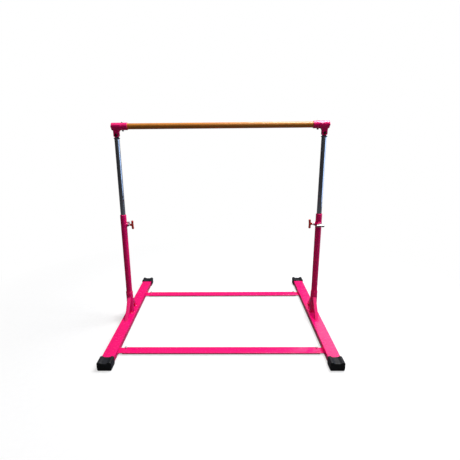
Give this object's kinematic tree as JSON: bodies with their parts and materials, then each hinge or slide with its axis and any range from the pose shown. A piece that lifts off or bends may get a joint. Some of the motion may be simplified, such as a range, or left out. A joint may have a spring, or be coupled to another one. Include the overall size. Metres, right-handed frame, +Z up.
{
  "type": "adjustable kip bar",
  "caption": "Gymnastics kip bar: round wooden bar on telescoping posts with pull pins and screw clamps, on a floor frame of side rails, cross tubes and rubber boots.",
  "frame": {"origin": "on the floor, midway between the two posts in their common plane", "axes": "+X along the bar, +Y to the back, +Z up"},
  "size_m": [1.526, 1.488, 1.4788],
  "materials": {
    "pink_paint": "gloss powder coat",
    "plated_tube": "bright zinc plate, drawn along the tube",
    "zinc": "satin zinc plate",
    "spring_steel": "satin",
    "dark_steel": "dull blue-grey",
    "black_oxide": "black oxide",
    "boot_rubber": "matte moulded",
    "red_plastic": "semi-gloss moulded",
    "bar_wood": "clear varnish"
  },
  "bodies": {
    "base_frame": {"left_side_rail": "pink_paint", "foot_front_left": "boot_rubber", "foot_rear_left": "boot_rubber", "left_post_socket": "pink_paint", "left_front_brace": "pink_paint", "left_rear_brace": "pink_paint", "spigot_front_left": "pink_paint", "cross_bolt_front_left": "zinc", "cross_nut_front_left": "zinc", "spigot_rear_left": "pink_paint", "cross_bolt_rear_left": "zinc", "cross_nut_rear_left": "zinc", "left_outer_post": "pink_paint", "left_pin_barrel": "zinc", "left_pin_spring": "spring_steel", "left_clamp_nut": "zinc", "right_side_rail": "pink_paint", "foot_front_right": "boot_rubber", "foot_rear_right": "boot_rubber", "right_post_socket": "pink_paint", "right_front_brace": "pink_paint", "right_rear_brace": "pink_paint", "spigot_front_right": "pink_paint", "cross_bolt_front_right": "zinc", "cross_nut_front_right": "zinc", "spigot_rear_right": "pink_paint", "cross_bolt_rear_right": "zinc", "cross_nut_rear_right": "zinc", "right_outer_post": "pink_paint", "right_pin_barrel": "zinc", "right_pin_spring": "spring_steel", "right_clamp_nut": "zinc", "front_cross_tube": "pink_paint", "rear_cross_tube": "pink_paint"},
    "left_inner": {"left_inner_post": "plated_tube", "left_tongue": "dark_steel"},
    "bar": {"bar_rail": "bar_wood", "left_bar_bracket": "pink_paint", "left_end_bolt": "pink_paint", "left_pivot_bolt": "black_oxide", "left_pivot_nut": "zinc", "left_bar_bolt": "zinc", "left_bar_bolt_nut": "zinc", "right_bar_bracket": "pink_paint", "right_end_bolt": "pink_paint", "right_pivot_bolt": "black_oxide", "right_pivot_nut": "zinc", "right_bar_bolt": "zinc", "right_bar_bolt_nut": "zinc"},
    "right_inner": {"right_inner_post": "plated_tube", "right_tongue": "dark_steel"},
    "left_pin": {"left_lock_pin": "zinc", "left_pin_handle": "red_plastic"},
    "left_pad": {"left_clamp_pad": "zinc"},
    "left_screw": {"left_clamp_screw": "zinc"},
    "right_pin": {"right_lock_pin": "zinc", "right_pin_handle": "red_plastic"},
    "right_pad": {"right_clamp_pad": "zinc"},
    "right_screw": {"right_clamp_screw": "zinc"}
  },
  "joints": [
    {"name": "bar_height", "type": "slide", "parent": "base_frame", "child": "left_inner", "axis": [0, 0, 1], "range_m": [-0.5334, 0.0762]},
    {"name": "bar_tilt", "type": "hinge", "parent": "left_inner", "child": "bar", "pos_m": [-0.717, 0, 1.3918], "axis": [0, -1, 0], "range_deg": [0, 2]},
    {"name": "right_pivot", "type": "hinge", "parent": "bar", "child": "right_inner", "pos_m": [0.717, 0, 1.3918], "axis": [0, -1, 0], "range_deg": [-2, 0]},
    {"name": "left_pin_pull", "type": "slide", "parent": "base_frame", "child": "left_pin", "axis": [1, 0, 0], "range_m": [-0.007, 0.003], "deforming": ["left_pin_spring"]},
    {"name": "left_clamp_travel", "type": "slide", "parent": "base_frame", "child": "left_pad", "axis": [0, 1, 0], "range_m": [-0.00038, 0.003]},
    {"name": "left_clamp_turn", "type": "hinge", "parent": "left_pad", "child": "left_screw", "pos_m": [-0.717, 0.05, 0.753], "axis": [0, 1, 0], "range_deg": [-95, 725]},
    {"name": "right_pin_pull", "type": "slide", "parent": "base_frame", "child": "right_pin", "axis": [-1, 0, 0], "range_m": [-0.007, 0.003], "deforming": ["right_pin_spring"]},
    {"name": "right_clamp_travel", "type": "slide", "parent": "base_frame", "child": "right_pad", "axis": [0, -1, 0], "range_m": [-0.00038, 0.003]},
    {"name": "right_clamp_turn", "type": "hinge", "parent": "right_pad", "child": "right_screw", "pos_m": [0.717, -0.05, 0.753], "axis": [0, -1, 0], "range_deg": [-95, 725]}
  ],
  "couplings": [
    {"joint": "right_pivot", "follows": "bar_tilt", "ratio": -1},
    {"joint": "left_clamp_turn", "follows": "left_clamp_travel", "rad_per_m": 4188.8},
    {"joint": "right_clamp_turn", "follows": "right_clamp_travel", "rad_per_m": 4188.8}
  ]
}
